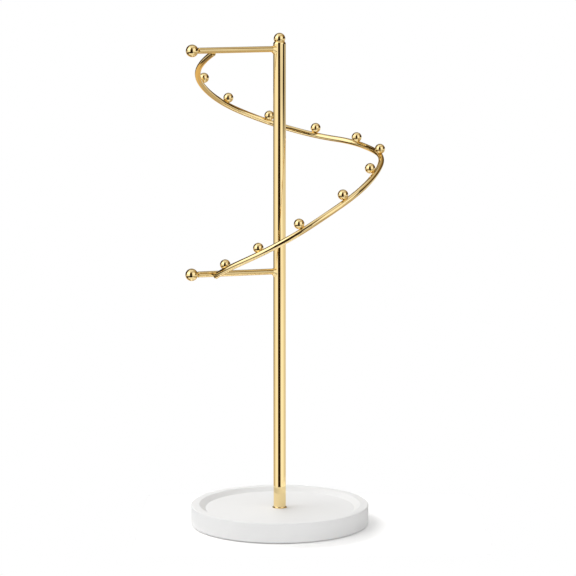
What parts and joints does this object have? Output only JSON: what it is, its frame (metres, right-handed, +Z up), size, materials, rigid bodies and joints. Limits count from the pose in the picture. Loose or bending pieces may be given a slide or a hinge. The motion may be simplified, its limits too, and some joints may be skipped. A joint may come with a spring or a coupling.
{
  "type": "jewelry tree",
  "caption": "Spiral necklace stand: a gold rod with ball pegs winds round a slim post between ball-ended arms, above a round white ring tray.",
  "frame": {"origin": "on the table, under the middle of the tray, on the post's axis", "axes": "+Z up along the post, +X to the right and -Y towards the viewer; the arms point to the front left"},
  "size_m": [0.1534, 0.149, 0.3848],
  "materials": {
    "gold": "mirror-polished pale gold plating",
    "white_lacquer": "satin white lacquer",
    "pad": "matt black foam rubber",
    "steel": "zinc-plated steel"
  },
  "bodies": {
    "root": {"base_screw": "steel", "base_washer": "steel", "finial": "gold", "foot_ring": "gold", "lower_arm": "gold", "lower_arm_ball": "gold", "peg_ball_01": "gold", "peg_ball_02": "gold", "peg_ball_03": "gold", "peg_ball_04": "gold", "peg_ball_05": "gold", "peg_ball_06": "gold", "peg_ball_07": "gold", "peg_ball_08": "gold", "peg_ball_09": "gold", "peg_ball_10": "gold", "peg_ball_11": "gold", "post": "gold", "post_insert": "steel", "spiral": "gold", "tray": "white_lacquer", "tray_pad": "pad", "upper_arm": "gold", "upper_arm_ball": "gold"}
  },
  "joints": []
}
